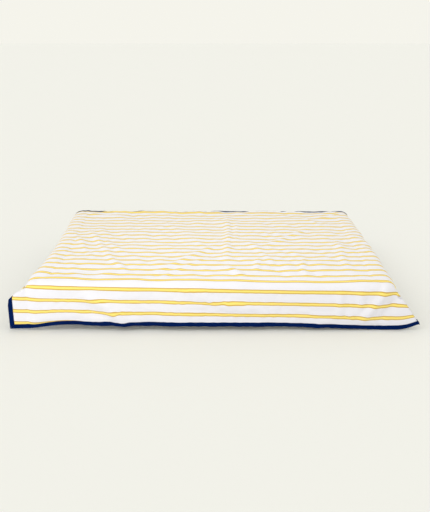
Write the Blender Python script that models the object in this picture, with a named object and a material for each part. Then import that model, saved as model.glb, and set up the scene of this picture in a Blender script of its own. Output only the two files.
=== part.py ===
"""A thin bound duvet, shown as it lies over the foot of a bed.

Every piece is made flat, as it is cut and sewn, and then draped: its points go through drape(),
which lays the middle on the mattress and lets the sides and the foot hang.

Frame: metres, +Z up, +Y towards the head of the bed, -Y towards its foot, +X to the right.
The origin is on the underside, at the middle of the part that lies on the mattress.
"""
import math

import bpy
import bmesh
from mathutils import Vector

# The duvet, laid flat
CUT_ACROSS = 2.184            # across the bed, between the cut edges
CUT_ALONG = 1.662             # along the bed, between the cut edges
FACE_THICK = 0.0005           # upper cloth
WADDING_THICK = 0.0060        # filling
BACK_THICK = 0.0005           # lower cloth
BINDING_THICK = 0.0006        # binding tape
BINDING_WIDTH = 0.025         # what shows of the tape on each side
STITCH_INSET = 0.003          # from the tape's inner edge to the row of stitches
THREAD_WIDTH = 0.0010
THREAD_THICK = 0.0005
LAYER_GAP = 0.0003            # between pieces that lie on each other
PINCH_LENGTH = 0.010          # beside the tape, where the layers thin down to fit into it

# The bed that it lies on
MATTRESS_WIDTH = 1.930
RIM_RADIUS = 0.040            # rounding of the mattress's upper edge
FOOT_DROP = 0.262             # cloth below the mattress's top at the foot

# How it hangs
HANG_LEAN = math.radians(9)   # of the hanging sides and foot, outwards from plumb
CORNER_RADIUS = 0.200         # of the wide bend of the loose cloth at each foot corner
GATHER = 0.47                 # share of a corner's turn that its two ends take up at once
GATHER_POWER = 7

# Division of the surface into facets
RIM_STEPS = 4
HANG_STEPS = 4
TOP_STEP = 0.310

# Heights of the layers above the surface that touches the mattress
BACK_TOP = BACK_THICK
WADDING_BOTTOM = BACK_TOP + LAYER_GAP
WADDING_TOP = WADDING_BOTTOM + WADDING_THICK
FACE_BOTTOM = WADDING_TOP + LAYER_GAP
FACE_TOP = FACE_BOTTOM + FACE_THICK
TAPE_ROOM = LAYER_GAP + BINDING_THICK    # the tape is sunk this deep, so it lies level

HALF_ACROSS = CUT_ACROSS / 2
RIM_LENGTH = RIM_RADIUS * math.pi / 2
FLAT_HALF = MATTRESS_WIDTH / 2 - RIM_RADIUS         # half the width that lies flat
FOOT_HANG = FOOT_DROP - RIM_RADIUS + RIM_LENGTH     # cloth from the flat part to the foot edge
FLAT_LENGTH = CUT_ALONG - FOOT_HANG                 # length that lies flat
HEAD_Y = (FLAT_LENGTH + RIM_RADIUS) / 2             # of the head edge
FLAT_FOOT_Y = HEAD_Y - FLAT_LENGTH                  # where the cloth starts to bend down
SIDE_HANG = HALF_ACROSS - FLAT_HALF                 # cloth from the flat part to a side edge

CLOTH_WHITE = (0.86, 0.86, 0.88, 1.0)
LINING_WHITE = (0.80, 0.80, 0.79, 1.0)
WADDING_WHITE = (0.90, 0.90, 0.88, 1.0)
NAVY = (0.004, 0.030, 0.175, 1.0)
NAVY_THREAD = (0.010, 0.045, 0.220, 1.0)


def clear_scene():
    for item in list(bpy.data.objects):
        bpy.data.objects.remove(item)


def smooth_step(value, low, high):
    share = min(1.0, max(0.0, (value - low) / (high - low)))
    return share * share * (3 - 2 * share)


def surface(across, along):
    """Where a point of the flat duvet's underside comes to lie, from the middle and the foot edge."""
    beyond_side = max(0.0, abs(across) - FLAT_HALF)
    beyond_foot = max(0.0, FOOT_HANG - along)
    flat_x = math.copysign(min(abs(across), FLAT_HALF), across)
    flat_y = FLAT_FOOT_Y + max(0.0, along - FOOT_HANG)
    reach = math.hypot(beyond_side, beyond_foot)
    quarter = math.pi / 4
    turn = math.atan2(beyond_foot, beyond_side) / quarter - 1      # -1 at the side, 1 at the foot
    radius = RIM_RADIUS + (CORNER_RADIUS - RIM_RADIUS) * (1 - turn ** 2) ** 2
    steepest = math.pi / 2 - HANG_LEAN
    bend = min(reach / radius, steepest)
    straight = max(0.0, reach - radius * steepest)
    out = radius * math.sin(bend) + straight * math.cos(bend)
    down = radius * (1 - math.cos(bend)) + straight * math.sin(bend)
    gather = GATHER * smooth_step(reach, RIM_RADIUS, 2 * RIM_LENGTH)
    heading = quarter * (1 + turn * (1 - gather) + gather * turn ** GATHER_POWER)
    side = math.copysign(math.cos(heading), across)
    return Vector((flat_x + out * side, flat_y - out * math.sin(heading), -down))


def pinched(across, along, height):
    """A height in the flat duvet, after the tapes have pressed the layers together at the edges."""
    inset = min(HALF_ACROSS - abs(across), along, CUT_ALONG - along)
    press = TAPE_ROOM * (1 - smooth_step(inset, BINDING_WIDTH, BINDING_WIDTH + PINCH_LENGTH))
    return height + press if height < FACE_TOP / 2 else height - press


def drape(across, along, height):
    """The place of a point that lies height above the underside of the flat duvet."""
    step = 0.0005
    over = surface(across + step, along) - surface(across - step, along)
    up = surface(across, along + step) - surface(across, along - step)
    lift = pinched(across, along, height)
    return surface(across, along) + lift * over.cross(up).normalized()


def even_stops(low, high, steps):
    return [low + (high - low) * step / steps for step in range(steps + 1)]


def hem_insets():
    """Distances from a cut edge where facets end, so that cloth, tape and stitches share them."""
    stitch = BINDING_WIDTH - STITCH_INSET
    return [0.0, stitch - THREAD_WIDTH, stitch, BINDING_WIDTH, BINDING_WIDTH + PINCH_LENGTH]


def hang_stops(hang):
    """Distances from the flat part, over the rim and down to the cut edge."""
    stops = even_stops(0.0, RIM_LENGTH, RIM_STEPS)
    insets = hem_insets()[::-1]
    stops += even_stops(RIM_LENGTH, hang - insets[0], HANG_STEPS)[1:]
    return stops + [hang - inset for inset in insets[1:]]


def across_stops():
    half = [FLAT_HALF + stop for stop in hang_stops(SIDE_HANG)]
    steps = math.ceil(2 * FLAT_HALF / TOP_STEP)
    return [-stop for stop in reversed(half)] + even_stops(-FLAT_HALF, FLAT_HALF, steps)[1:-1] + half


def along_stops():
    foot = [FOOT_HANG - stop for stop in reversed(hang_stops(FOOT_HANG))]
    head = [CUT_ALONG - inset for inset in reversed(hem_insets())]
    steps = math.ceil((head[0] - FOOT_HANG) / TOP_STEP)
    return foot + even_stops(FOOT_HANG, head[0], steps)[1:-1] + head


def flat_grid(columns, rows):
    """A flat grid whose lines lie at the given places; each point holds (column, row, 0)."""
    shell = bmesh.new()
    bmesh.ops.create_grid(shell, x_segments=len(columns) - 1, y_segments=len(rows) - 1, size=0.5)
    for point in shell.verts:
        column = round((point.co.x + 0.5) * (len(columns) - 1))
        row = round((point.co.y + 0.5) * (len(rows) - 1))
        point.co = Vector((columns[column], rows[row], 0.0))
    return shell


def thicken(shell, lift):
    """Close a sheet into a slab: a copy of each point goes where lift puts it."""
    copy = bmesh.ops.extrude_face_region(shell, geom=shell.faces[:])
    for point in [item for item in copy["geom"] if isinstance(item, bmesh.types.BMVert)]:
        point.co = lift(point.co)
    bmesh.ops.recalc_face_normals(shell, faces=shell.faces[:])


def split_towards_corners(shell):
    """Cut each four-sided facet along the diagonal that points at the nearest corner."""
    middle = CUT_ALONG / 2
    for face in shell.faces[:]:
        if len(face.verts) != 4:
            continue
        centre = face.calc_center_median()
        right = 1 if centre.x > 0 else -1
        head = 1 if centre.y > middle else -1
        corners = face.verts[:]
        far = max(range(4), key=lambda k: corners[k].co.x * right + corners[k].co.y * head
                  + corners[k].co.z * 1e-3)
        bmesh.utils.face_split(face, corners[far], corners[(far + 2) % 4])


def place(name, shell, material, collection):
    """Drape a flat piece and add it to the collection."""
    split_towards_corners(shell)
    for point in shell.verts:
        point.co = drape(*point.co)
    mesh = bpy.data.meshes.new(name)
    shell.to_mesh(mesh)
    shell.free()
    mesh.materials.append(material)
    mesh.shade_smooth()
    mesh.set_sharp_from_angle(angle=math.radians(50))
    piece = bpy.data.objects.new(name, mesh)
    collection.objects.link(piece)
    return piece


def add_layer(name, bottom, thick, material, collection):
    """One of the three layers, cut edge to cut edge."""
    shell = flat_grid(across_stops(), along_stops())
    for point in shell.verts:
        point.co.z = bottom
    thicken(shell, lambda spot: spot + Vector((0.0, 0.0, thick)))
    place(name, shell, material, collection)


def edge_half_length(side):
    return HALF_ACROSS if side in ("foot", "head") else CUT_ALONG / 2


def mitre_limit(side, inset, setback):
    """How far from its middle a strip may reach, at this distance in from the cut edge."""
    return edge_half_length(side) - inset - setback


def strip_stops(side):
    """Places along a strip, from its middle, where facets end; the last lie past the mitre."""
    if side in ("foot", "head"):
        stops = across_stops()
    else:
        stops = [stop - CUT_ALONG / 2 for stop in along_stops()]
    return [stops[0] - BINDING_WIDTH] + stops[1:-1] + [stops[-1] + BINDING_WIDTH]


def flat_strip(side, rows, setback):
    """A strip along an edge: its rows hold (distance in from the edge, height)."""
    shell = flat_grid(strip_stops(side), list(range(len(rows))))
    for point in shell.verts:
        inset, height = rows[round(point.co.y)]
        limit = mitre_limit(side, inset, setback)
        point.co = Vector((max(-limit, min(limit, point.co.x)), inset, height))
    bmesh.ops.remove_doubles(shell, verts=shell.verts[:], dist=1e-6)
    return shell


def lay_along_edge(side, shell):
    """Turn a strip's points, given along an edge and in from it, into points of the flat duvet."""
    middle = CUT_ALONG / 2
    spots = {
        "foot": lambda along, inset, height: (along, inset, height),
        "head": lambda along, inset, height: (along, CUT_ALONG - inset, height),
        "left": lambda along, inset, height: (inset - HALF_ACROSS, along + middle, height),
        "right": lambda along, inset, height: (HALF_ACROSS - inset, along + middle, height),
    }
    for point in shell.verts:
        point.co = spots[side](*point.co)
    bmesh.ops.recalc_face_normals(shell, faces=shell.faces[:])


def add_binding(side, material, collection):
    """Tape folded round the three layers at one edge, mitred at its ends."""
    insets = hem_insets()[1:4]
    over_height = FACE_TOP + LAYER_GAP
    wall = [-LAYER_GAP, 0.0, WADDING_BOTTOM, WADDING_TOP, FACE_TOP, over_height]
    rows = [(inset, -LAYER_GAP) for inset in reversed(insets)]
    rows += [(-LAYER_GAP, height) for height in wall]
    rows += [(inset, over_height) for inset in insets]
    setback = LAYER_GAP / 2
    shell = flat_strip(side, rows, setback)

    def outwards(spot):
        inset = spot.y - BINDING_THICK if spot.y < 0 else spot.y
        height = spot.z
        if spot.z < 0:
            height -= BINDING_THICK
        elif spot.z > FACE_TOP + LAYER_GAP / 2:
            height += BINDING_THICK
        along = spot.x
        if abs(along) > mitre_limit(side, spot.y, setback) - 1e-6:
            along = math.copysign(mitre_limit(side, inset, setback), along)
        return Vector((along, inset, height))

    thicken(shell, outwards)
    lay_along_edge(side, shell)
    place(f"binding_{side}", shell, material, collection)


def add_stitches(side, material, collection):
    """The row of thread that holds the tape, as it lies on the tape's upper side."""
    bottom = FACE_TOP + LAYER_GAP + BINDING_THICK + LAYER_GAP
    rows = [(inset, bottom) for inset in hem_insets()[1:3]]
    shell = flat_strip(side, rows, THREAD_WIDTH)
    thicken(shell, lambda spot: spot + Vector((0.0, 0.0, THREAD_THICK)))
    lay_along_edge(side, shell)
    place(f"stitching_{side}", shell, material, collection)


def make_material(name, colour, roughness):
    material = bpy.data.materials.new(name)
    material.use_nodes = True
    finish = material.node_tree.nodes["Principled BSDF"]
    finish.inputs["Base Color"].default_value = colour
    finish.inputs["Roughness"].default_value = roughness
    finish.inputs["Metallic"].default_value = 0.0
    return material


def build():
    clear_scene()
    collection = bpy.data.collections.new("duvet")
    bpy.context.scene.collection.children.link(collection)
    back = make_material("back_cloth", LINING_WHITE, 0.85)
    wadding = make_material("wadding", WADDING_WHITE, 0.95)
    face = make_material("face_cloth", CLOTH_WHITE, 0.80)
    add_layer("back_cloth", 0.0, BACK_THICK, back, collection)
    add_layer("wadding", WADDING_BOTTOM, WADDING_THICK, wadding, collection)
    add_layer("face_cloth", FACE_BOTTOM, FACE_THICK, face, collection)
    for side in ("foot", "head", "left", "right"):
        tape = make_material(f"binding_{side}", NAVY, 0.75)
        thread = make_material(f"stitching_{side}", NAVY_THREAD, 0.65)
        add_binding(side, tape, collection)
        add_stitches(side, thread, collection)


build()
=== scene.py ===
"""The looks of a thin bound duvet that lies over the foot of a bed.

The duvet is described flat: s runs across it from its middle, t along it from the foot cut edge,
and a height is measured up from its underside. It is draped once, by a cloth simulation over a
mattress that isn't shown, and every piece is then laid on that drape.
"""
import math

import bmesh
import bpy
import numpy as np
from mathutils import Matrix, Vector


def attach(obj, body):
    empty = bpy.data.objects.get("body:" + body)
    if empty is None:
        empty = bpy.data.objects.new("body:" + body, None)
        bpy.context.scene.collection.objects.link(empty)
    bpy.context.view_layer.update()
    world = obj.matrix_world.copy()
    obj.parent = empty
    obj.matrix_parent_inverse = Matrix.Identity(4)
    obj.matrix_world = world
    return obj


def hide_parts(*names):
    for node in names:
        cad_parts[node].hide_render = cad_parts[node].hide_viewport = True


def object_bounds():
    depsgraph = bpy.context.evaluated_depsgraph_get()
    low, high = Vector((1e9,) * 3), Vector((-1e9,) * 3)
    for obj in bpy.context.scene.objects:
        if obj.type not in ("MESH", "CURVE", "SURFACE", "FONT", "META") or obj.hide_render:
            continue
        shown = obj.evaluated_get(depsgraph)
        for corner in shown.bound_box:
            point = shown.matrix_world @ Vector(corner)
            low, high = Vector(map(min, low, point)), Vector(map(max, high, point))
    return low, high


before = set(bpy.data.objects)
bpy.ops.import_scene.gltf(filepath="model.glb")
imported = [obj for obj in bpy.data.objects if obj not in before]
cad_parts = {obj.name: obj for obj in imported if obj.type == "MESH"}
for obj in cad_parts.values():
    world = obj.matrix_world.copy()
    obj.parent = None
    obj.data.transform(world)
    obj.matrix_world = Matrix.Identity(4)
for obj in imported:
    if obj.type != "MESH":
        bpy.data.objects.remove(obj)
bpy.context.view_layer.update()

# The duvet, laid flat (metres)
CUT_ACROSS = 2.184
CUT_ALONG = 1.662
HALF_ACROSS = CUT_ACROSS / 2
TAPE_WIDTH = 0.025
TAPE_THICK = 0.0007
LOFT = 0.0076                 # of the three layers together
HEM_LOFT = 0.0050             # the same, under the tape
CLOTH_THICK = 0.0005

# The mattress under it
MATTRESS_WIDTH = 1.930
MATTRESS_LENGTH = 2.030
MATTRESS_DEPTH = 0.250
RIM_RADIUS = 0.040
FOOT_DROP = 0.262
OFF_CENTRE = 0.030            # how far the duvet lies to the right of the mattress's middle

RIM_LENGTH = RIM_RADIUS * math.pi / 2
FLAT_HALF = MATTRESS_WIDTH / 2 - RIM_RADIUS
FOOT_HANG = FOOT_DROP - RIM_RADIUS + RIM_LENGTH
FLAT_LENGTH = CUT_ALONG - FOOT_HANG
FLAT_FOOT_Y = (FLAT_LENGTH + RIM_RADIUS) / 2 - FLAT_LENGTH
MATTRESS_FOOT_Y = FLAT_FOOT_Y - RIM_RADIUS

# How the cloth hangs round the foot corners before the simulation. In front of a corner's ridge it
# goes straight on from the foot, and behind it the cloth turns back to the side. A turn is measured
# round the corner, from 0 at the side to 1 at the foot.
LEFT_RIDGE_TURN = 0.47
RIGHT_RIDGE_TURN = 0.635
RIDGE_BLUR = 0.06
CORNER_HOLD = 0.8             # how firmly the simulation keeps a corner to its first shape

# How the drape is off the simulated one: (s, metres), read between the points
RIM_SAG = [(-1.09, 0.005), (-0.30, 0.007), (0.15, 0.010), (0.50, 0.013), (1.09, 0.010)]
HEM_LIFT = [(-1.09, 0.0), (-0.93, 0.004), (-0.87, 0.015), (-0.78, 0.020), (-0.68, 0.010),
            (-0.45, 0.009), (0.0, 0.008), (0.37, 0.010), (0.60, 0.005), (0.83, -0.003),
            (1.00, -0.002), (1.09, 0.045)]
SAG_LENGTH = 0.26             # over which the top slopes down to the foot
RIM_GIVE = 0.009              # how much further the rim sinks than the panel under it
RIM_SOFTNESS = 0.004          # how far the rim is pressed in
RIM_GIVE_LENGTH = 0.080       # below the rim, over which that ends
RIGHT_PUSH = [(0.0, 0.018), (0.22, 0.030), (0.45, 0.0)]     # outwards, at the right: (t, metres)
RIGHT_PUSH_SPAN = (0.88, 1.03)          # of s, over which it comes in
LEFT_TUCK = 0.033             # how far the left side is pushed in, behind the corner
LEFT_TUCK_SPAN = (0.55, 0.95)           # of -s, over which it comes in
LEFT_TUCK_START = (0.25, 0.60)          # of t
LEFT_TUCK_EASE = (0.85, 1.55)           # of t, over which 0.7 of it goes
LEFT_TUCK_EASED = 0.7
POINT_BLUR = 0.05             # how far the values between given points are smoothed

# Uneven places in the drape: (height, size along s, size along t, seed)
TOP_BUMPS = (0.0034, 0.065, 0.100, 5)
SLANTED_BUMPS = (0.0024, 0.035, 0.120, 9)
BROAD_BUMPS = (0.0035, 0.190, 0.260, 6)
FRONT_BUMPS = (0.0045, 0.110, 0.260, 7)
HEM_BUMPS = (0.0022, 0.060, 0.200, 8)
SLANT = 0.5
TOP_FADE = 0.10               # behind the rim, over which the top's bumps come in
HEM_REACH = 0.05
RIM_REACH = 0.045
CREASE_WANDER = 0.006         # how far a crease wanders from its line
WANDER_SIZE = 0.09
CREASE_FADE = 0.3             # the share of a crease's length over which each end fades

# How far the stripes are off the cut edge
LEFT_SKEW = 0.033
SKEW_START = 1.05
SKEW_LENGTH = 0.45
RIGHT_SKEW = 0.003
RIGHT_SKEW_SPAN = (-0.1, 0.35)

# Tape and stitches
TAPE_STEP = 0.006
TAPE_CLEAR = 0.00035          # between the cloth and the tape
TAPE_FOLD = 0.0025            # how far in from the cut edge the fold of the tape is round
TAPE_FLAT_START = 0.004
TAPE_FOLD_STEPS = 7
TAPE_FLAT_STEPS = 5
TAPE_CHART_STEP = 0.004
TAPE_WOBBLE = 0.0007
TAPE_WOBBLE_SIZE = 0.035
TAPE_WOBBLE_START = 0.010
MITRE_GAP = 0.0003
PRESS_FADE = 0.030            # inside the tape, over which the layers rise to their full height
PUCKER = 0.0006
PUCKER_REACH = 0.018
PUCKER_SHORT, PUCKER_LONG = 0.013, 0.060
FACE_GRAIN = 0.0004
FACE_GRAIN_SIZE = 0.030
FILLING_OVER_BACK = 0.0013
FILLING_UNDER_FACE = 0.0018
STITCH_PITCH = 0.005
STITCH_LENGTH = 0.0036
STITCH_RADIUS = 0.00045
STITCH_INSET = 0.003
STITCH_SIDES = 6
STITCH_LIFT = 0.55            # of its radius: how high a stitch's middle stands over the tape

# Grids
SIM_STEP = 0.020
DRAPE_STEP = 0.006
FACE_STEP = 0.008
BACK_STEP = 0.014
WADDING_STEP = 0.018
SIM_FRAMES = 26
LYING_INSET = 0.05            # cloth this far inside the rim doesn't move in the simulation
HOLD_SPAN = (-0.10, 0.02)     # how far beyond the rim a corner's hold comes in


def smooth_step(value, low, high):
    share = np.clip((value - low) / (high - low), 0.0, 1.0)
    return share * share * (3 - 2 * share)


def unit(vectors):
    return vectors / np.linalg.norm(vectors, axis=-1, keepdims=True)


def stops(low, high, step):
    return np.linspace(low, high, int(round((high - low) / step)) + 1)


def sample(grid, column, row):
    """Smooth (Catmull-Rom) values of a grid at fractional columns and rows; two cells are padding."""
    column, row = column + 2, row + 2
    left = np.clip(np.floor(column).astype(int), 1, grid.shape[1] - 3)
    low = np.clip(np.floor(row).astype(int), 1, grid.shape[0] - 3)

    def weights(f):
        return (0.5 * (-f + 2 * f**2 - f**3), 0.5 * (2 - 5 * f**2 + 3 * f**3),
                0.5 * (f + 4 * f**2 - 3 * f**3), 0.5 * (f**3 - f**2))

    across, up = weights(column - left), weights(row - low)
    total = 0.0
    for i in range(4):
        for j in range(4):
            weight = up[i] * across[j]
            value = grid[low + i - 1, left + j - 1]
            total = total + (weight[..., None] * value if value.ndim > weight.ndim else weight * value)
    return total


def pad(grid):
    """Two more cells all round, carried on in a straight line."""
    edges = ((2, 2), (2, 2)) + ((0, 0),) * (grid.ndim - 2)
    return np.pad(grid, edges, mode="reflect", reflect_type="odd")


def lumps(s, t, size_s, size_t, seed):
    """Smooth random values, about -1 to 1, that change over the given sizes."""
    columns, rows = int(1.5 * CUT_ACROSS / size_s) + 8, int(CUT_ALONG / size_t) + 8
    lattice = np.random.default_rng(seed).uniform(-1.0, 1.0, (rows, columns))
    return sample(lattice, (s + HALF_ACROSS) / size_s, t / size_t)


# ---------------------------------------------------------------- the drape

def over_rim(length):
    """How far out and down a strip reaches that lies over the rim and then hangs plumb."""
    bend = np.minimum(length / RIM_RADIUS, math.pi / 2)
    out = RIM_RADIUS * np.sin(bend)
    return out, RIM_RADIUS * (1 - np.cos(bend)) + np.maximum(0.0, length - RIM_LENGTH)


def turned(a, b, share):
    """Vectors that turn evenly from a to b, and whose length changes evenly too."""
    long_a, long_b = (np.linalg.norm(v, axis=-1, keepdims=True) + 1e-9 for v in (a, b))
    between = np.arccos(np.clip(np.sum(a / long_a * b / long_b, -1, keepdims=True), -1.0, 0.9999))
    way = (np.sin((1 - share) * between) * a / long_a + np.sin(share * between) * b / long_b)
    return way / np.sin(between) * ((1 - share) * long_a + share * long_b)


def round_corner(reach, turn, ridge_turn):
    """(outwards, forwards, up) from where the flat part's corner is, for a foot corner's cloth."""
    def straight_on(angle):
        forwards, down = over_rim(reach * np.sin(angle))
        return np.stack([reach * np.cos(angle), forwards, -down], -1)

    out, down = over_rim(reach)
    side = np.stack([out, np.zeros_like(out), -down], -1)
    ridge = straight_on(ridge_turn * math.pi / 2)
    behind = turned(side, ridge, np.clip(turn / ridge_turn, 0.0, 1.0)[..., None])
    return np.where((turn < ridge_turn)[..., None], behind, straight_on(turn * math.pi / 2))


def start_surface(s, t):
    """The underside before the simulation: flat on the mattress, bent over its rim, then plumb."""
    across = s + OFF_CENTRE
    beyond_side = np.maximum(0.0, np.abs(across) - FLAT_HALF)
    beyond_foot = np.maximum(0.0, FOOT_HANG - t)
    reach = np.hypot(beyond_side, beyond_foot)
    turn = np.arctan2(beyond_foot, beyond_side) / (math.pi / 2)
    turn = np.where(reach > 0, turn, 0.5)
    ridge_turn = np.where(across < 0, LEFT_RIDGE_TURN, RIGHT_RIDGE_TURN)
    blur = np.minimum(np.minimum(turn, 1 - turn), RIDGE_BLUR)
    offset = sum(round_corner(reach, turn + share * blur, ridge_turn)
                 for share in (-1.0, -0.5, 0.0, 0.5, 1.0)) / 5
    x = np.clip(across, -FLAT_HALF, FLAT_HALF) + np.sign(across) * offset[..., 0]
    y = FLAT_FOOT_Y + np.maximum(0.0, t - FOOT_HANG) - offset[..., 1]
    return np.stack([x, y, offset[..., 2]], axis=-1)


def add_mattress():
    """What the cloth falls against during the simulation."""
    shell = bmesh.new()
    bmesh.ops.create_cube(shell, size=1.0)
    bmesh.ops.scale(shell, vec=(MATTRESS_WIDTH, MATTRESS_LENGTH, MATTRESS_DEPTH), verts=shell.verts)
    middle = (0.0, MATTRESS_FOOT_Y + MATTRESS_LENGTH / 2, -MATTRESS_DEPTH / 2)
    bmesh.ops.translate(shell, vec=middle, verts=shell.verts)
    bmesh.ops.bevel(shell, geom=shell.edges[:], offset=RIM_RADIUS, segments=6, profile=0.5,
                    affect="EDGES")
    mesh = bpy.data.meshes.new("mattress")
    shell.to_mesh(mesh)
    shell.free()
    mattress = bpy.data.objects.new("mattress", mesh)
    bpy.context.scene.collection.objects.link(mattress)
    mattress.modifiers.new("collision", "COLLISION")
    mattress.collision.thickness_outer = 0.002
    mattress.collision.cloth_friction = 60
    return mattress


def simulated(start, s, t):
    """The start surface's points after the cloth has come to rest on the mattress."""
    rows, columns = s.shape
    index = np.arange(rows * columns).reshape(rows, columns)
    quads = np.stack([index[:-1, :-1], index[:-1, 1:], index[1:, 1:], index[1:, :-1]], -1)
    mesh = bpy.data.meshes.new("falling_cloth")
    mesh.from_pydata(start.reshape(-1, 3).tolist(), [], quads.reshape(-1, 4).tolist())
    cloth = bpy.data.objects.new("falling_cloth", mesh)
    bpy.context.scene.collection.objects.link(cloth)
    cloth.shape_key_add(name="start")
    flat = cloth.shape_key_add(name="flat")
    flat_points = np.stack([s, t, np.zeros_like(s)], -1)
    flat.data.foreach_set("co", flat_points.ravel())
    beyond_side = np.abs(s + OFF_CENTRE) - FLAT_HALF
    beyond_foot = FOOT_HANG - t
    corner = smooth_step(np.minimum(beyond_side, beyond_foot), *HOLD_SPAN)
    lying = (beyond_side < -LYING_INSET) & (beyond_foot < -LYING_INSET)
    hold = np.where(lying, 1.0, CORNER_HOLD * corner)
    pins = cloth.vertex_groups.new(name="pins")
    for point, weight in zip(index.ravel().tolist(), hold.ravel().tolist()):
        if weight > 0:
            pins.add([point], weight, "REPLACE")
    mattress = add_mattress()

    modifier = cloth.modifiers.new("cloth", "CLOTH")
    settings = modifier.settings
    settings.rest_shape_key = flat
    settings.vertex_group_mass = "pins"
    settings.quality = 7
    settings.mass = 0.02
    settings.tension_stiffness = 15
    settings.compression_stiffness = 15
    settings.shear_stiffness = 5
    settings.bending_stiffness = 1.0
    settings.air_damping = 1
    modifier.collision_settings.collision_quality = 2
    modifier.collision_settings.distance_min = 0.003
    modifier.collision_settings.use_self_collision = False
    modifier.point_cache.frame_start = 1
    modifier.point_cache.frame_end = SIM_FRAMES
    scene = bpy.context.scene
    scene.frame_start, scene.frame_end = 1, SIM_FRAMES
    for step in range(1, SIM_FRAMES + 1):
        scene.frame_set(step)
    fallen = cloth.evaluated_get(bpy.context.evaluated_depsgraph_get()).data
    points = np.empty(rows * columns * 3, dtype=np.float32)
    fallen.vertices.foreach_get("co", points)
    for item in (cloth, mattress):
        bpy.data.objects.remove(item)
    scene.frame_set(1)
    return points.reshape(rows, columns, 3).astype(float)


# ---------------------------------------------------------------- creases

# Each crease: points (s, t) along it, height, half width. Heights below zero are valleys.
CREASES = [
    ([(0.09, 1.60), (0.08, 0.95), (0.07, 0.47)], 0.010, 0.022),
    ([(0.15, 1.45), (0.13, 1.05), (0.12, 0.80)], 0.005, 0.018),
    ([(-0.88, 1.27), (-0.74, 0.95), (-0.61, 0.63), (-0.48, 0.39), (-0.41, 0.27)], 0.011, 0.026),
    ([(-0.80, 1.27), (-0.66, 0.93), (-0.52, 0.62)], 0.006, 0.020),
    ([(-0.41, 0.27), (-0.25, 0.47), (-0.06, 0.75), (0.07, 0.95)], 0.007, 0.024),
    ([(-0.36, 0.24), (-0.17, 0.46), (0.00, 0.68)], 0.005, 0.018),
    ([(0.27, 0.77), (0.43, 0.99), (0.63, 1.24)], 0.008, 0.022),
    ([(0.19, 0.95), (0.31, 0.56), (0.36, 0.38)], 0.008, 0.024),
    ([(0.76, 1.06), (0.73, 0.65), (0.72, 0.31)], 0.009, 0.026),
    ([(-0.95, 1.62), (-0.78, 1.52), (-0.60, 1.50)], 0.006, 0.020),
    ([(0.92, 1.60), (0.78, 1.48), (0.66, 1.44)], 0.006, 0.020),
    ([(-0.97, 1.20), (-0.80, 0.80), (-0.66, 0.50)], 0.006, 0.018),
    ([(-0.80, 0.38), (-0.70, 0.34), (-0.55, 0.36)], 0.006, 0.014),
    ([(0.05, 0.50), (0.16, 0.33)], 0.006, 0.016),
    ([(0.25, 0.62), (0.22, 0.38)], 0.007, 0.016),
    ([(0.52, 0.62), (0.47, 0.42), (0.50, 0.30)], 0.006, 0.016),
    ([(0.60, 1.50), (0.72, 1.22)], 0.006, 0.018),
    ([(-0.72, 0.215), (-0.63, 0.15), (-0.57, 0.12), (-0.49, 0.03), (-0.46, -0.05)], 0.016, 0.028),
    ([(-0.74, 0.15), (-0.66, 0.095), (-0.60, 0.06), (-0.54, 0.0), (-0.52, -0.05)], -0.007, 0.024),
    ([(-0.23, 0.23), (-0.05, 0.18), (0.03, 0.13), (0.21, 0.11), (0.32, 0.06)], 0.011, 0.026),
    ([(0.66, 0.24), (0.66, 0.04)], 0.007, 0.022),
    ([(0.77, 0.24), (0.77, 0.10)], 0.006, 0.020),
    ([(0.93, 0.27), (0.83, 0.11), (0.76, 0.02)], 0.014, 0.020),
    ([(0.97, 0.22), (0.90, 0.09), (0.86, 0.02)], -0.010, 0.020),
    ([(0.69, 0.10), (0.75, 0.06)], 0.006, 0.014),
]
# The low wave just inside the head edge: where along s it stands
HEAD_WAVES = [(-0.83, 0.07), (0.20, 0.64), (0.75, 0.88)]
HEAD_WAVE_HEIGHT = 0.010
HEAD_WAVE_INSET = 0.041
HEAD_WAVE_REACH = 0.018
HEAD_WAVE_FADE = 0.05


def crease(s, t, points, height, half_width):
    """A soft ridge along a line of points, fading towards its ends."""
    ends = [np.array(point) for point in points]
    lengths = [np.linalg.norm(b - a) for a, b in zip(ends, ends[1:])]
    nearest, place, run = np.full(s.shape, np.inf), np.zeros(s.shape), 0.0
    for a, b, length in zip(ends, ends[1:], lengths):
        share = ((s - a[0]) * (b - a)[0] + (t - a[1]) * (b - a)[1]) / length**2
        share = np.clip(share, 0.0, 1.0)
        gap = np.hypot(s - a[0] - share * (b - a)[0], t - a[1] - share * (b - a)[1])
        place = np.where(gap < nearest, run + share * length, place)
        nearest = np.minimum(gap, nearest)
        run += length
    end = CREASE_FADE * run
    fade = smooth_step(place, 0.0, end) * smooth_step(run - place, 0.0, end)
    return height * fade * near(nearest, 0.0, half_width)


def bumps(s, t, kind):
    height, size_s, size_t, seed = kind
    return height * lumps(s, t, size_s, size_t, seed)


def near(value, middle, reach):
    """1 at the middle, fading to 0 over about the reach."""
    return np.exp(-((value - middle) / reach) ** 2)


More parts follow.
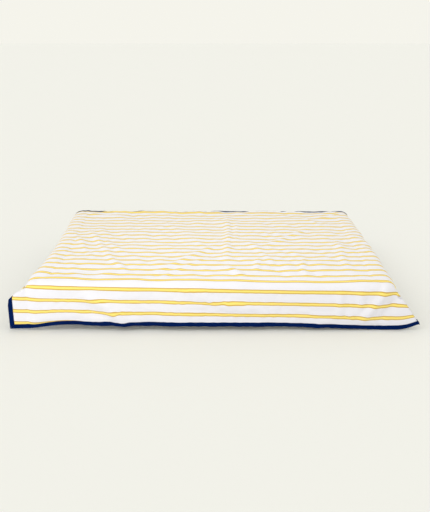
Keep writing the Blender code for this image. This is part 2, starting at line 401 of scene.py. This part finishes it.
def relief(s, t):
    """How far the whole duvet stands off the simulated drape."""
    wander_s, wander_t = (CREASE_WANDER * lumps(s, t, WANDER_SIZE, WANDER_SIZE, seed)
                          for seed in (3, 4))
    total = sum(crease(s + wander_s, t + wander_t, *one) for one in CREASES)
    on_top = smooth_step(t, FOOT_HANG, FOOT_HANG + TOP_FADE)
    total = total + on_top * bumps(s, t, TOP_BUMPS)
    total = total + on_top * bumps(s + SLANT * t, t, SLANTED_BUMPS)
    total = total + on_top * np.abs(bumps(s, t, BROAD_BUMPS))
    total = total + (1 - on_top) * bumps(s, t, FRONT_BUMPS)
    total = total + near(t, 0.0, HEM_REACH) * bumps(s, t, HEM_BUMPS)
    total = total - RIM_SOFTNESS * near(t, FOOT_HANG - RIM_LENGTH / 2, RIM_REACH)
    wave = sum(smooth_step(s, a, a + HEAD_WAVE_FADE) * smooth_step(-s, -b, HEAD_WAVE_FADE - b)
               for a, b in HEAD_WAVES)
    return total + HEAD_WAVE_HEIGHT * wave * near(CUT_ALONG - t, HEAD_WAVE_INSET, HEAD_WAVE_REACH)


def along_points(place, points):
    """Smooth values between points (place, value)."""
    places, values = zip(*points)
    blur = np.linspace(-POINT_BLUR, POINT_BLUR, 9)
    return sum(np.interp(place + shift, places, values) for shift in blur) / len(blur)


def settle(s, t):
    """How far the drape moves sideways, along the bed and up as the cloth settles."""
    to_foot = smooth_step(-t, -FOOT_HANG - SAG_LENGTH, -FOOT_HANG)
    to_hem = smooth_step(-t, -FOOT_HANG + RIM_LENGTH, 0.0)
    give = RIM_GIVE * smooth_step(t, FOOT_HANG - RIM_GIVE_LENGTH, FOOT_HANG)
    up = along_points(s, HEM_LIFT) * to_hem - (along_points(s, RIM_SAG) + give) * to_foot
    eased = 1 - LEFT_TUCK_EASED * smooth_step(t, *LEFT_TUCK_EASE)
    tuck = LEFT_TUCK * smooth_step(t, *LEFT_TUCK_START) * eased * smooth_step(-s, *LEFT_TUCK_SPAN)
    push = along_points(t, RIGHT_PUSH) * smooth_step(s, *RIGHT_PUSH_SPAN)
    return np.stack([tuck + push, np.zeros_like(s), up], -1)


def make_drape():
    """The finished underside and its normals, as padded grids in steps of DRAPE_STEP."""
    s, t = np.meshgrid(stops(-HALF_ACROSS, HALF_ACROSS, SIM_STEP), stops(0.0, CUT_ALONG, SIM_STEP))
    coarse = start_surface(s, t)
    coarse = simulated(coarse, s, t)
    coarse = pad(coarse)
    fine_s, fine_t = np.meshgrid(stops(-HALF_ACROSS, HALF_ACROSS, DRAPE_STEP),
                                 stops(0.0, CUT_ALONG, DRAPE_STEP))
    column = (fine_s + HALF_ACROSS) / CUT_ACROSS * (s.shape[1] - 1)
    row = fine_t / CUT_ALONG * (s.shape[0] - 1)
    points = sample(coarse, column, row) + settle(fine_s, fine_t)
    points = points + relief(fine_s, fine_t)[..., None] * grid_normals(points)
    return pad(points), pad(grid_normals(points))


def grid_normals(points):
    return unit(np.cross(np.gradient(points, axis=1), np.gradient(points, axis=0)))


def drape(s, t, height):
    """The place of a point of the duvet that lies height above its underside."""
    points, normals = DRAPE
    column = (s + HALF_ACROSS) / CUT_ACROSS * (points.shape[1] - 5)
    row = t / CUT_ALONG * (points.shape[0] - 5)
    return sample(points, column, row) + height[..., None] * unit(sample(normals, column, row))


# ---------------------------------------------------------------- pieces

def edge_inset(s, t):
    return np.minimum(np.minimum(HALF_ACROSS - np.abs(s), t), CUT_ALONG - t)


def squeeze(s, t):
    """How far the tape and its stitches press each side of the duvet in towards its middle."""
    inset = edge_inset(s, t)
    pressed = (LOFT - HEM_LOFT) / 2 * (1 - smooth_step(inset, TAPE_WIDTH, TAPE_WIDTH + PRESS_FADE))
    near_tape = near(np.maximum(TAPE_WIDTH, inset), TAPE_WIDTH, PUCKER_REACH)
    along_foot = np.minimum(t, CUT_ALONG - t) < HALF_ACROSS - np.abs(s)
    pucker = np.where(along_foot, lumps(s, t, PUCKER_SHORT, PUCKER_LONG, 11),
                      lumps(s, t, PUCKER_LONG, PUCKER_SHORT, 12))
    return pressed + PUCKER * near_tape * pucker


def top_height(s, t):
    grain = FACE_GRAIN * lumps(s, t, FACE_GRAIN_SIZE, FACE_GRAIN_SIZE, 13)
    return LOFT - squeeze(s, t) + grain


def bottom_height(s, t):
    return squeeze(s, t)


def add_piece(name, points, quads, flat_places, material):
    """A smooth mesh whose map named flat holds each point's place in the flat duvet, in metres."""
    mesh = bpy.data.meshes.new(name)
    mesh.from_pydata(points.reshape(-1, 3).tolist(), [], quads.reshape(-1, 4).tolist())
    chart = mesh.uv_layers.new(name="flat")
    corner_points = np.empty(len(mesh.loops), dtype=np.int32)
    mesh.loops.foreach_get("vertex_index", corner_points)
    chart.data.foreach_set("uv", flat_places.reshape(-1, 2)[corner_points].astype(np.float32).ravel())
    mesh.materials.append(material)
    mesh.shade_smooth()
    piece = bpy.data.objects.new(name, mesh)
    bpy.context.scene.collection.objects.link(piece)
    return piece


def woven_place(s, t):
    """Where a point lies in the weave, which is cut a little askew, most of all at the left."""
    skew = LEFT_SKEW * np.exp(-(s + SKEW_START) / SKEW_LENGTH)
    skew = skew - RIGHT_SKEW * smooth_step(s, *RIGHT_SKEW_SPAN)
    return np.stack([s, t - skew], -1)


def add_layer(name, step, low, high, material):
    """One of the three layers: a closed slab between two heights, cut edge to cut edge."""
    s, t = np.meshgrid(stops(-HALF_ACROSS, HALF_ACROSS, step), stops(0.0, CUT_ALONG, step))
    rows, columns = s.shape
    upper = drape(s, t, high(s, t))
    lower = drape(s, t, low(s, t))
    index = np.arange(rows * columns).reshape(rows, columns)
    top = np.stack([index[:-1, :-1], index[:-1, 1:], index[1:, 1:], index[1:, :-1]], -1)
    under = top[..., ::-1] + rows * columns
    rim = np.concatenate([index[0, :-1], index[:-1, -1], index[-1, :0:-1], index[:0:-1, 0]])
    onward = np.roll(rim, -1)
    wall = np.stack([onward, rim, rim + rows * columns, onward + rows * columns], -1)
    quads = np.concatenate([part.reshape(-1, 4) for part in (top, under, wall)])
    places = woven_place(s, t).reshape(-1, 2)
    return add_piece(name, np.concatenate([upper.reshape(-1, 3), lower.reshape(-1, 3)]), quads,
                     np.concatenate([places, places]), material)


def along_edge(side, along, inset):
    """Places in the flat duvet of points given along an edge from its middle, and in from it."""
    middle = CUT_ALONG / 2
    return {
        "foot": (along, inset),
        "head": (-along, CUT_ALONG - inset),
        "left": (inset - HALF_ACROSS, middle - along),
        "right": (HALF_ACROSS - inset, middle + along),
    }[side]


def edge_half_length(side):
    return HALF_ACROSS if side in ("foot", "head") else CUT_ALONG / 2


def tape_profile():
    """Points round a tape: inset, share of the way up, and how far a lift goes up and outwards."""
    flat = list(np.linspace(TAPE_WIDTH, TAPE_FLAT_START, TAPE_FLAT_STEPS))
    turn = np.linspace(-math.pi / 2, math.pi / 2, TAPE_FOLD_STEPS)
    below = [(inset, 0.0, -1.0, 0.0) for inset in flat]
    round_edge = [(TAPE_FOLD * (1 - math.cos(angle)), 0.5 + 0.5 * math.sin(angle),
                   math.sin(angle), math.cos(angle)) for angle in turn]
    above = [(inset, 1.0, 1.0, 0.0) for inset in reversed(flat)]
    return np.array(below + round_edge + above)


def add_binding(side, material, seed):
    """Tape folded round the three layers at one edge and mitred at its ends."""
    profile = tape_profile()
    half = edge_half_length(side)
    share = stops(-1.0, 1.0, TAPE_STEP / half)
    rings, chart = [], []
    for lift in (TAPE_CLEAR, TAPE_CLEAR + TAPE_THICK):
        inset = profile[:, 0] - lift * profile[:, 3]
        inset = inset[None, :] + np.zeros_like(share)[:, None]
        along = share[:, None] * (half - inset - MITRE_GAP)
        s, t = along_edge(side, along, inset)
        wobble = TAPE_WOBBLE * lumps(s, t, TAPE_WOBBLE_SIZE, TAPE_WOBBLE_SIZE, seed)
        inset = inset + wobble * smooth_step(inset, TAPE_WOBBLE_START, TAPE_WIDTH)
        s, t = along_edge(side, along, inset)
        low, high = bottom_height(s, t), top_height(s, t)
        height = low + (high - low) * profile[None, :, 1] + lift * profile[None, :, 2]
        rings.append(drape(s, t, height))
        chart.append(np.stack([along, np.cumsum(np.full(inset.shape, TAPE_CHART_STEP), axis=1)], -1))
    count, width = rings[0].shape[:2]
    index = np.arange(count * width).reshape(count, width)
    other = index + count * width
    inner = np.stack([index[:-1, :-1], index[1:, :-1], index[1:, 1:], index[:-1, 1:]], -1)
    outer = inner[..., ::-1] + count * width
    lips = [np.stack([index[1:, k], index[:-1, k], other[:-1, k], other[1:, k]], -1)[:, ::order]
            for k, order in ((0, 1), (-1, -1))]
    caps = [np.stack([index[k, :-1], index[k, 1:], other[k, 1:], other[k, :-1]], -1)[:, ::order]
            for k, order in ((0, 1), (-1, -1))]
    quads = np.concatenate([part.reshape(-1, 4) for part in (inner, outer, *lips, *caps)])
    return add_piece(f"tape_{side}", np.concatenate([ring.reshape(-1, 3) for ring in rings]), quads,
                     np.concatenate([part.reshape(-1, 2) for part in chart]), material)


def add_stitches(side, material):
    """Two rows of separate stitches along a tape, one above and one below."""
    half = edge_half_length(side) - TAPE_WIDTH
    inset = TAPE_WIDTH - STITCH_INSET
    middles = np.arange(-half + STITCH_PITCH, half - STITCH_PITCH / 2, STITCH_PITCH)
    reach = np.array([-0.5, -0.34, 0.0, 0.34, 0.5]) * STITCH_LENGTH
    girth = np.array([0.15, 0.85, 1.0, 0.85, 0.15]) * STITCH_RADIUS
    angle = np.linspace(0.0, 2 * math.pi, STITCH_SIDES, endpoint=False)
    along = middles[:, None, None] + reach[None, :, None] + np.zeros(STITCH_SIDES)
    inwards = inset + girth[None, :, None] * np.cos(angle) + np.zeros_like(along)
    rise = girth[None, :, None] * np.sin(angle) + np.zeros_like(along)
    s, t = along_edge(side, along, inwards)
    clear = TAPE_CLEAR + TAPE_THICK + STITCH_RADIUS * STITCH_LIFT
    above = drape(s, t, top_height(s, t) + clear + rise)
    below = drape(s, t, bottom_height(s, t) - clear - rise)
    count, rings = len(middles), len(reach)
    index = np.arange(rings * STITCH_SIDES).reshape(rings, STITCH_SIDES)
    onward = np.roll(index, -1, axis=1)
    skin = np.stack([index[:-1], index[1:], onward[1:], onward[:-1]], -1).reshape(-1, 4)
    caps = np.array([[index[0, k] for k in (0, 1, 2, 3)], [index[0, k] for k in (0, 3, 4, 5)],
                     [index[-1, k] for k in (3, 2, 1, 0)], [index[-1, k] for k in (5, 4, 3, 0)]])
    one = np.concatenate([skin, caps])
    shift = (np.arange(2 * count) * rings * STITCH_SIDES)[:, None, None]
    flip = np.where(np.arange(2 * count)[:, None, None] < count, one, one[:, ::-1])
    points = np.concatenate([above.reshape(-1, 3), below.reshape(-1, 3)])
    places = np.concatenate([np.stack([along, rise], -1).reshape(-1, 2)] * 2)
    piece = add_piece(f"stitches_{side}", points, shift + flip, places, material)
    shell = bmesh.new()
    shell.from_mesh(piece.data)
    bmesh.ops.recalc_face_normals(shell, faces=shell.faces[:])
    shell.to_mesh(piece.data)
    shell.free()
    return piece


# ---------------------------------------------------------------- materials

class Finish:
    """A material and short ways to add nodes to it."""

    def __init__(self, name, roughness, gloss=0.25):
        self.material = bpy.data.materials.new(name)
        self.material.use_nodes = True
        self.tree = self.material.node_tree
        self.shader = self.tree.nodes["Principled BSDF"]
        self.shader.inputs["Roughness"].default_value = roughness
        self.shader.inputs["Metallic"].default_value = 0.0
        self.shader.inputs["Specular IOR Level"].default_value = gloss
        self.place = self.add("ShaderNodeUVMap", uv_map="flat").outputs["UV"]

    def add(self, kind, *values, **settings):
        node = self.tree.nodes.new(kind)
        for key, value in settings.items():
            setattr(node, key, value)
        for socket, value in zip(node.inputs, values):
            self.feed(socket, value)
        return node

    def feed(self, socket, value):
        if isinstance(value, bpy.types.NodeSocket):
            self.tree.links.new(value, socket)
        elif value is not None:
            socket.default_value = value

    def math(self, operation, *values):
        return self.add("ShaderNodeMath", *values, operation=operation).outputs[0]

    def noise(self, scale, detail=2.0, stretch=(1.0, 1.0, 1.0)):
        spread = self.add("ShaderNodeMapping", self.place)
        spread.inputs["Scale"].default_value = stretch
        node = self.add("ShaderNodeTexNoise")
        self.feed(node.inputs["Vector"], spread.outputs[0])
        node.inputs["Scale"].default_value = scale
        node.inputs["Detail"].default_value = detail
        return node.outputs["Fac"]

    def mix(self, share, first, second):
        node = self.add("ShaderNodeMix", data_type="RGBA")
        self.feed(node.inputs["Factor"], share)
        self.feed(node.inputs[6], first)
        self.feed(node.inputs[7], second)
        return node.outputs[2]

    def bump(self, height, distance, strength=1.0, under=None):
        node = self.add("ShaderNodeBump")
        self.feed(node.inputs["Strength"], strength)
        self.feed(node.inputs["Distance"], distance)
        self.feed(node.inputs["Height"], height)
        self.feed(node.inputs["Normal"], under)
        return node.outputs[0]

    def weave(self, pitch):
        """Height of a plain weave: threads that cross, each going over and under."""
        split = self.add("ShaderNodeSeparateXYZ", self.place)
        turns = 2 * math.pi / pitch
        over = self.math("SINE", self.math("MULTIPLY", split.outputs[0], turns))
        along = self.math("SINE", self.math("MULTIPLY", split.outputs[1], turns))
        return self.math("MULTIPLY_ADD", self.math("MULTIPLY", over, along), 0.5, 0.5)


WHITE = (0.79, 0.785, 0.86, 1.0)
WHITE_LIGHT = (0.84, 0.832, 0.90, 1.0)
WHITE_THREAD = (0.70, 0.70, 0.77, 1.0)
GOLD = (0.56, 0.34, 0.035, 1.0)
GOLD_LIGHT = (0.66, 0.44, 0.075, 1.0)
YELLOW = (0.95, 0.75, 0.17, 1.0)
YELLOW_LIGHT = (0.97, 0.82, 0.31, 1.0)
NAVY = (0.0006, 0.0075, 0.058, 1.0)
NAVY_WORN = (0.0015, 0.014, 0.095, 1.0)
NAVY_THREAD = (0.004, 0.026, 0.150, 1.0)
LINING = (0.80, 0.80, 0.79, 1.0)
LINING_DULL = (0.74, 0.74, 0.74, 1.0)
WADDING = (0.90, 0.90, 0.88, 1.0)
WADDING_DULL = (0.82, 0.82, 0.80, 1.0)
FLOOR = (0.868, 0.874, 0.868, 1.0)
SKY = (0.915, 0.905, 0.835, 1.0)
STRIPE_PITCH = 0.0695
STRIPE_HALF = 0.0103          # half the whole stripe, with its gold edges
YELLOW_HALF = 0.0053
STRIPE_BLUR = 0.0006
STRIPE_DRIFT = 0.004
COTTON_PITCH = 0.0011         # of the threads, as in the three below
LINING_PITCH = 0.0010
TAPE_PITCH = 0.0014
THREAD_PITCH = 0.0004


def striped_cloth():
    finish = Finish("striped_cotton", 0.85)
    split = finish.add("ShaderNodeSeparateXYZ", finish.place)
    drift = finish.math("MULTIPLY_ADD", finish.noise(9.0), STRIPE_DRIFT, -STRIPE_DRIFT / 2)
    place = finish.math("ADD", split.outputs[1], drift)
    cell = finish.math("FRACT", finish.math("ADD", finish.math("DIVIDE", place, STRIPE_PITCH), 0.5))
    off = finish.math("MULTIPLY", finish.math("ABSOLUTE", finish.math("SUBTRACT", cell, 0.5)),
                      STRIPE_PITCH)

    def inside(half):
        span = finish.add("ShaderNodeMapRange", interpolation_type="SMOOTHSTEP")
        finish.feed(span.inputs["Value"], off)
        span.inputs["From Min"].default_value = half + STRIPE_BLUR
        span.inputs["From Max"].default_value = half - STRIPE_BLUR
        return span.outputs[0]

    shade = finish.noise(14.0, 3.0)
    ground = finish.mix(shade, WHITE, WHITE_LIGHT)
    threads = finish.noise(900.0, 1.0, (1.0, 0.02, 1.0))
    ground = finish.mix(finish.math("MULTIPLY", threads, 0.10), ground, WHITE_THREAD)
    gold = finish.mix(finish.math("MULTIPLY", threads, 0.5), GOLD, GOLD_LIGHT)
    yellow = finish.mix(finish.math("MULTIPLY", threads, 0.4), YELLOW, YELLOW_LIGHT)
    colour = finish.mix(inside(STRIPE_HALF), ground, gold)
    colour = finish.mix(inside(YELLOW_HALF), colour, yellow)
    finish.feed(finish.shader.inputs["Base Color"], colour)
    soft = finish.bump(finish.noise(60.0, 4.0), 0.0012, 0.6)
    woven = finish.bump(finish.weave(COTTON_PITCH), 0.00008, 0.5, soft)
    finish.feed(finish.shader.inputs["Normal"], woven)
    finish.shader.inputs["Sheen Weight"].default_value = 0.10
    finish.shader.inputs["Sheen Roughness"].default_value = 0.6
    return finish.material


def plain_cloth(name, colour, other, roughness, gloss, pitch, coarse):
    """Woven cloth whose colour drifts between two close shades, over patches sized by coarse."""
    finish = Finish(name, roughness, gloss)
    shade = finish.mix(finish.noise(coarse, 3.0), colour, other)
    fibres = finish.noise(800.0, 2.0, (1.0, 0.05, 1.0))
    shade = finish.mix(finish.math("MULTIPLY", fibres, 0.35), shade, other)
    finish.feed(finish.shader.inputs["Base Color"], shade)
    soft = finish.bump(finish.noise(120.0, 3.0), 0.0006, 0.5)
    woven = finish.bump(finish.weave(pitch), 0.00010, 0.6, soft)
    finish.feed(finish.shader.inputs["Normal"], woven)
    return finish.material


def fibre_wadding():
    finish = Finish("fibre_wadding", 0.95)
    shade = finish.mix(finish.noise(200.0, 4.0), WADDING, WADDING_DULL)
    finish.feed(finish.shader.inputs["Base Color"], shade)
    finish.feed(finish.shader.inputs["Normal"], finish.bump(finish.noise(400.0, 4.0), 0.0015))
    return finish.material


# ---------------------------------------------------------------- the scene

CAMERA_PLACE = (0.03, MATTRESS_FOOT_Y - 3.43, 1.27)
CAMERA_PITCH = math.radians(18.26)
FOCAL_LENGTH = 49.21875        # millimetres
SENSOR = 36                   # millimetres
KEY_DIRECTION = (-0.75, -0.40, 1.0)
KEY_COLOUR = (1.0, 0.99, 0.97)
FRONT_LAMP = (-1.2, MATTRESS_FOOT_Y - 2.3, 0.5)
FRONT_AIM = (-0.5, MATTRESS_FOOT_Y, -0.1)
TOP_LAMP = (-0.1, MATTRESS_FOOT_Y + 0.25, 1.3)
TOP_AIM = (-0.1, MATTRESS_FOOT_Y + 0.25, 0.0)
LAMP_SIZE = 1.0


def add_camera():
    data = bpy.data.cameras.new("camera")
    data.lens = FOCAL_LENGTH
    data.sensor_width = SENSOR
    data.sensor_fit = "AUTO"
    camera = bpy.data.objects.new("camera", data)
    camera.location = CAMERA_PLACE
    camera.rotation_euler = (math.pi / 2 - CAMERA_PITCH, 0.0, 0.0)
    bpy.context.scene.collection.objects.link(camera)
    bpy.context.scene.camera = camera


def add_sun(name, direction, strength, colour, spread):
    """A soft light from the given direction, spread over so many degrees."""
    data = bpy.data.lights.new(name, "SUN")
    data.energy = strength
    data.color = colour
    data.angle = math.radians(spread)
    sun = bpy.data.objects.new(name, data)
    across, back, up = direction
    sun.rotation_euler = (math.atan2(math.hypot(across, back), up), 0.0,
                          math.atan2(across, -back))
    bpy.context.scene.collection.objects.link(sun)


def add_softbox(name, place, aim, power, pieces):
    """A square soft light that lights only the pieces."""
    data = bpy.data.lights.new(name, "AREA")
    data.size = LAMP_SIZE
    data.energy = power
    lamp = bpy.data.objects.new(name, data)
    lamp.location = place
    across, back, up = (a - b for a, b in zip(place, aim))
    lamp.rotation_euler = (math.atan2(math.hypot(across, back), up), 0.0, math.atan2(across, -back))
    bpy.context.scene.collection.objects.link(lamp)
    lit = bpy.data.collections.new(f"lit_by_{name}")
    for piece in pieces:
        lit.objects.link(piece)
    lamp.light_linking.receiver_collection = lit


def add_surroundings(floor_level):
    world = bpy.data.worlds.new("studio")
    world.use_nodes = True
    sky = world.node_tree.nodes["Background"]
    sky.inputs["Color"].default_value = SKY
    sky.inputs["Strength"].default_value = 1.0
    bpy.context.scene.world = world
    bpy.context.scene.view_settings.view_transform = "Standard"
    shell = bmesh.new()
    bmesh.ops.create_grid(shell, x_segments=1, y_segments=1, size=60.0)
    mesh = bpy.data.meshes.new("floor")
    shell.to_mesh(mesh)
    shell.free()
    floor = bpy.data.objects.new("floor", mesh)
    floor.location.z = floor_level
    bpy.context.scene.collection.objects.link(floor)
    paint = bpy.data.materials.new("floor_paint")
    paint.use_nodes = True
    coat = paint.node_tree.nodes["Principled BSDF"]
    coat.inputs["Base Color"].default_value = FLOOR
    coat.inputs["Roughness"].default_value = 0.9
    mesh.materials.append(paint)


DRAPE = make_drape()

cotton = striped_cloth()
lining = plain_cloth("lining_cotton", LINING, LINING_DULL, 0.85, 0.25, LINING_PITCH, 20.0)
filling = fibre_wadding()
tape = plain_cloth("navy_tape", NAVY, NAVY_WORN, 0.85, 0.02, TAPE_PITCH, 30.0)
thread = plain_cloth("navy_thread", NAVY_THREAD, NAVY, 0.60, 0.15, THREAD_PITCH, 60.0)

face = add_layer("face", FACE_STEP, lambda s, t: top_height(s, t) - CLOTH_THICK, top_height, cotton)
back = add_layer("back", BACK_STEP, bottom_height, lambda s, t: bottom_height(s, t) + CLOTH_THICK,
                 lining)
wadding = add_layer("filling", WADDING_STEP, lambda s, t: bottom_height(s, t) + FILLING_OVER_BACK,
                    lambda s, t: top_height(s, t) - FILLING_UNDER_FACE, filling)
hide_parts("face_cloth")
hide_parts("back_cloth")
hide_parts("wadding")

edging = []
for number, side in enumerate(("foot", "head", "left", "right")):
    binding = add_binding(side, tape, 20 + number)
    stitches = add_stitches(side, thread)
    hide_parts(f"binding_{side}")
    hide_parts(f"stitching_{side}")
    edging += [binding, stitches]

pieces = [face, back, wadding, *edging]
for piece in pieces:
    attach(piece, "root")

visual_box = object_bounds()
add_surroundings(visual_box[0][2] - 0.001)
add_sun("key", KEY_DIRECTION, 0.44, KEY_COLOUR, 40)
add_softbox("front", FRONT_LAMP, FRONT_AIM, 15.5, pieces)
add_softbox("above", TOP_LAMP, TOP_AIM, 1.7, pieces)
add_camera()
